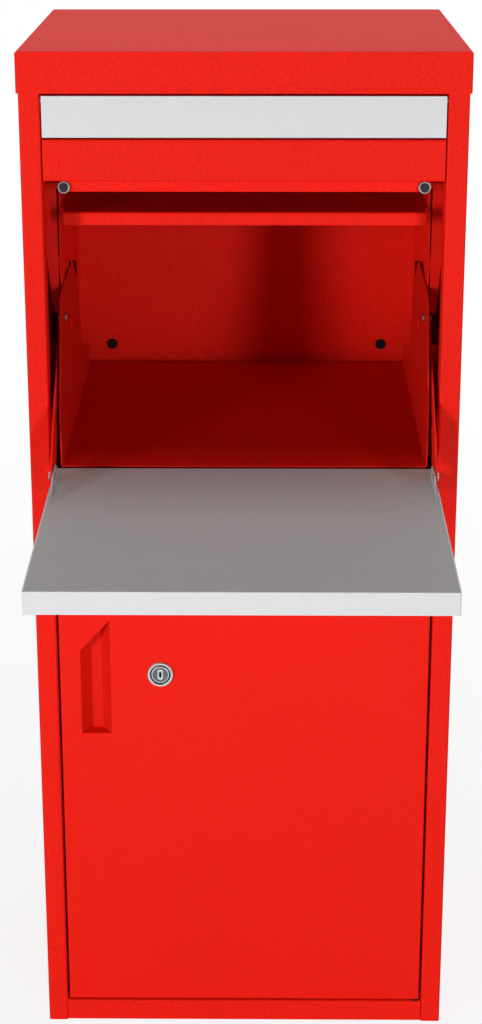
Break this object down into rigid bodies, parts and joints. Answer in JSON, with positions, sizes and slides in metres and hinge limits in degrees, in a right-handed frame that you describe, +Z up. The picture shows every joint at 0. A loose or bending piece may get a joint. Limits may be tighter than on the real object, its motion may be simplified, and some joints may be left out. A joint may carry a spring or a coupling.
{
  "type": "parcel box",
  "caption": "Free-standing sheet-steel parcel and letter box with a letter flap, a drop-down parcel flap linked to a tipping tray, and a lower locked door.",
  "frame": {"origin": "centre of the base's footprint, on the floor", "axes": "+Z up, the front with the flaps and the door faces -Y, +X towards the door's hinges"},
  "size_m": [0.383, 0.5797, 0.938],
  "materials": {
    "red_coat": "fine textured powder coat, red",
    "silver_coat": "fine textured powder coat, silver grey",
    "zinc": "zinc plated",
    "chrome": "polished",
    "black_rubber": "matt",
    "black_plastic": "matt moulded"
  },
  "bodies": {
    "cabinet": {"side_panel_left": "red_coat", "side_panel_right": "red_coat", "back_panel": "red_coat", "lid_cap": "red_coat", "base_pan": "red_coat", "letter_rail": "red_coat", "letter_shelf": "red_coat", "cheek_left": "red_coat", "cheek_right": "red_coat", "sill_rail": "red_coat", "bumper_cups": "zinc", "bumper_pads": "black_rubber", "tray_bolts": "red_coat", "flap_hinge_studs": "zinc", "flap_washers": "black_plastic", "door_hinge_pins": "zinc", "door_washer": "black_plastic", "blanking_plugs": "black_plastic", "letter_rod": "zinc"},
    "letter_flap": {"letter_flap": "silver_coat"},
    "parcel_flap": {"flap_outer_pan": "silver_coat", "flap_inner_skin": "silver_coat", "flap_arm_pins": "zinc"},
    "tray": {"tray_pan": "red_coat", "tray_arm_pins": "zinc"},
    "arm_left": {"arm_left": "red_coat"},
    "arm_right": {"arm_right": "red_coat"},
    "door": {"door_panel": "red_coat", "door_pull_cup": "red_coat", "lock_body": "chrome", "lock_nut": "zinc"},
    "lock_core": {"lock_plug": "chrome", "lock_cam": "zinc", "cam_screw": "zinc"}
  },
  "joints": [
    {"name": "flap_hinge", "type": "hinge", "parent": "cabinet", "child": "parcel_flap", "pos_m": [0, -0.1508, 0.5592], "axis": [-1, 0, 0], "range_deg": [0, 91.84]},
    {"name": "tray_pivot", "type": "hinge", "parent": "cabinet", "child": "tray", "pos_m": [0, -0.0366, 0.671], "axis": [-1, 0, 0], "range_deg": [0, 91.84]},
    {"name": "arm_left_pivot", "type": "hinge", "parent": "parcel_flap", "child": "arm_left", "pos_m": [-0.1665, -0.202, 0.5778], "axis": [-1, 0, 0], "range_deg": [-91.84, 0]},
    {"name": "arm_right_pivot", "type": "hinge", "parent": "parcel_flap", "child": "arm_right", "pos_m": [0.1665, -0.202, 0.5778], "axis": [-1, 0, 0], "range_deg": [-91.84, 0]},
    {"name": "letter_flap_hinge", "type": "hinge", "parent": "cabinet", "child": "letter_flap", "pos_m": [0, -0.1554, 0.8962], "axis": [1, 0, 0], "range_deg": [0, 60], "stiffness_Nm_per_rad": 0.02, "springref_deg": -34.38},
    {"name": "door_hinge", "type": "hinge", "parent": "cabinet", "child": "door", "pos_m": [0.1657, -0.1558, 0.276], "axis": [0, 0, 1], "range_deg": [0, 110]},
    {"name": "lock_turn", "type": "hinge", "parent": "door", "child": "lock_core", "pos_m": [-0.077, -0.15, 0.3698], "axis": [0, 1, 0], "range_deg": [0, 90]}
  ],
  "couplings": [
    {"joint": "tray_pivot", "follows": "flap_hinge", "ratio": 1},
    {"joint": "arm_left_pivot", "follows": "flap_hinge", "ratio": -1},
    {"joint": "arm_right_pivot", "follows": "flap_hinge", "ratio": -1}
  ]
}
